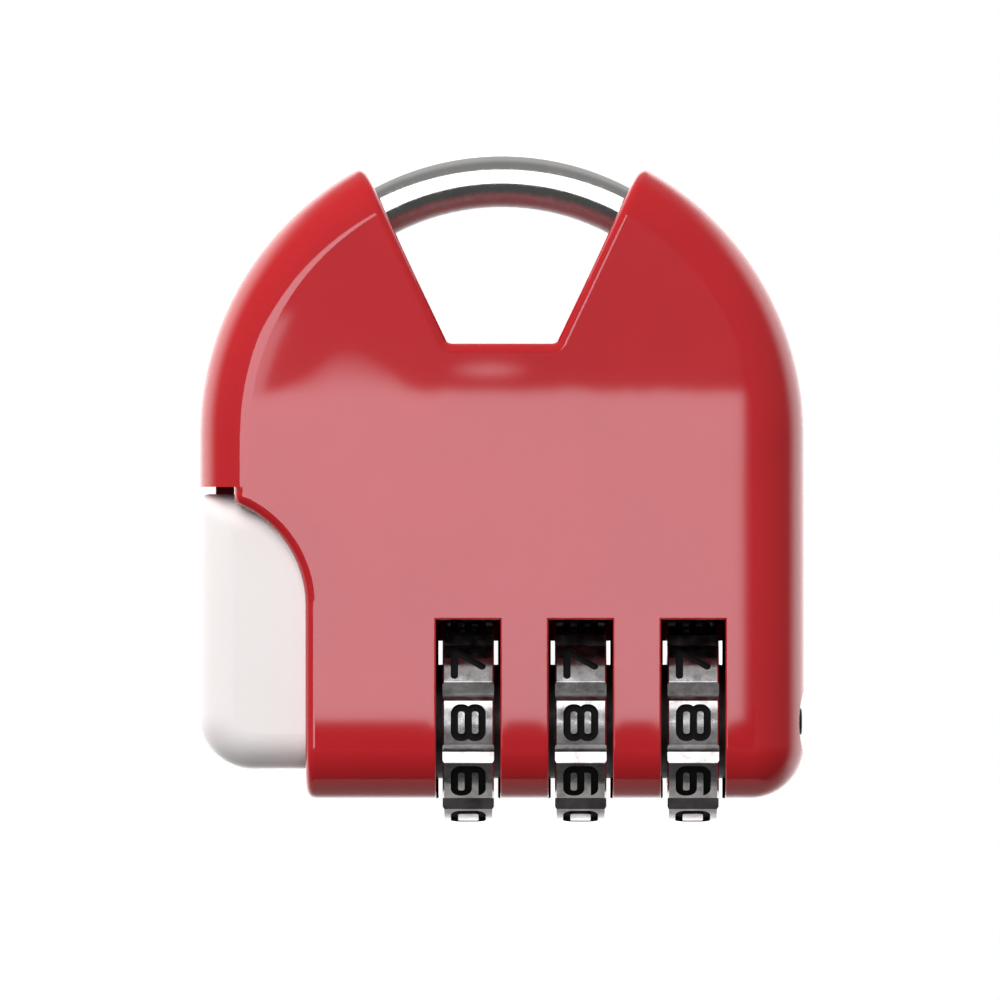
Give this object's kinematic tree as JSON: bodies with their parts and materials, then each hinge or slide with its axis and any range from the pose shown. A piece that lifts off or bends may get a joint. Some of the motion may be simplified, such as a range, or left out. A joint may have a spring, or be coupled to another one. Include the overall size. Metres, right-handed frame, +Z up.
{
  "type": "luggage combination padlock",
  "caption": "Small crown-shaped luggage padlock with number dials, a side release button and a swing-out curved shackle.",
  "frame": {"origin": "hang point: underside of the shackle's bow at its top, at the middle of the lock's thickness", "axes": "+X to the lock's right seen from the front, +Y from the front face to the back face, +Z up towards the shackle"},
  "size_m": [0.0378, 0.013, 0.0417],
  "materials": {
    "red_paint": "deep red gloss paint under clear lacquer on die-cast metal",
    "white_plastic": "smooth off-white moulded plastic with a soft gloss",
    "polished_steel": "mirror-polished round steel wire",
    "dial_metal": "bright plated dial with dark paint in its engraved digits",
    "dark_steel": "dark turned steel",
    "pin_steel": "plain ground steel",
    "spring_steel": "drawn spring steel",
    "zinc_casting": "bare matt zinc casting",
    "brass": "plain turned brass"
  },
  "bodies": {
    "casing": {"front_cover": "red_paint", "back_cover": "red_paint", "cover_pins": "pin_steel", "carrier_pivot_pin": "pin_steel", "button_spring": "spring_steel", "sleeve_spring": "spring_steel", "detent_spring": "spring_steel", "detent_rivets": "pin_steel"},
    "release": {"release_button": "white_plastic", "spindle": "brass", "spindle_clip": "spring_steel"},
    "shackle": {"shackle": "polished_steel", "shackle_carrier": "zinc_casting", "shackle_cross_pin": "pin_steel", "drive_pin": "pin_steel"},
    "reset": {"reset_button": "dark_steel"},
    "dial_left": {"dial_left": "dial_metal"},
    "sleeve_left": {"sleeve_left": "zinc_casting"},
    "dial_middle": {"dial_middle": "dial_metal"},
    "sleeve_middle": {"sleeve_middle": "zinc_casting"},
    "dial_right": {"dial_right": "dial_metal"},
    "sleeve_right": {"sleeve_right": "zinc_casting"}
  },
  "joints": [
    {"name": "shackle_open", "type": "hinge", "parent": "casing", "child": "shackle", "pos_m": [0, 0, -0.01425], "axis": [0, -1, 0], "range_deg": [0, 35], "stiffness_Nm_per_rad": 0.0049, "springref_deg": -40.11},
    {"name": "release_press", "type": "slide", "parent": "casing", "child": "release", "axis": [1, 0, 0], "range_m": [0, 0.00247], "deforming": ["button_spring"]},
    {"name": "reset_press", "type": "slide", "parent": "casing", "child": "reset", "axis": [-1, 0, 0], "range_m": [0, 0.0013], "stiffness_N_per_m": 400, "springref_m": -0.002, "deforming": ["sleeve_spring"]},
    {"name": "dial_left_turn", "type": "hinge", "parent": "casing", "child": "dial_left", "pos_m": [-0.0021, 0, -0.03215], "axis": [1, 0, 0], "continuous": true, "deforming": ["detent_spring"]},
    {"name": "sleeve_left_shift", "type": "slide", "parent": "dial_left", "child": "sleeve_left", "axis": [-1, 0, 0], "range_m": [0, 0.0013]},
    {"name": "dial_middle_turn", "type": "hinge", "parent": "casing", "child": "dial_middle", "pos_m": [0.0049, 0, -0.03215], "axis": [1, 0, 0], "continuous": true, "deforming": ["detent_spring"]},
    {"name": "sleeve_middle_shift", "type": "slide", "parent": "dial_middle", "child": "sleeve_middle", "axis": [-1, 0, 0], "range_m": [0, 0.0013]},
    {"name": "dial_right_turn", "type": "hinge", "parent": "casing", "child": "dial_right", "pos_m": [0.0119, 0, -0.03215], "axis": [1, 0, 0], "continuous": true, "deforming": ["detent_spring"]},
    {"name": "sleeve_right_shift", "type": "slide", "parent": "dial_right", "child": "sleeve_right", "axis": [-1, 0, 0], "range_m": [0, 0.0013]}
  ],
  "couplings": [
    {"joint": "release_press", "follows": "shackle_open", "m_per_rad": 0.0040369},
    {"joint": "sleeve_left_shift", "follows": "reset_press", "ratio": 1},
    {"joint": "sleeve_middle_shift", "follows": "reset_press", "ratio": 1},
    {"joint": "sleeve_right_shift", "follows": "reset_press", "ratio": 1}
  ]
}
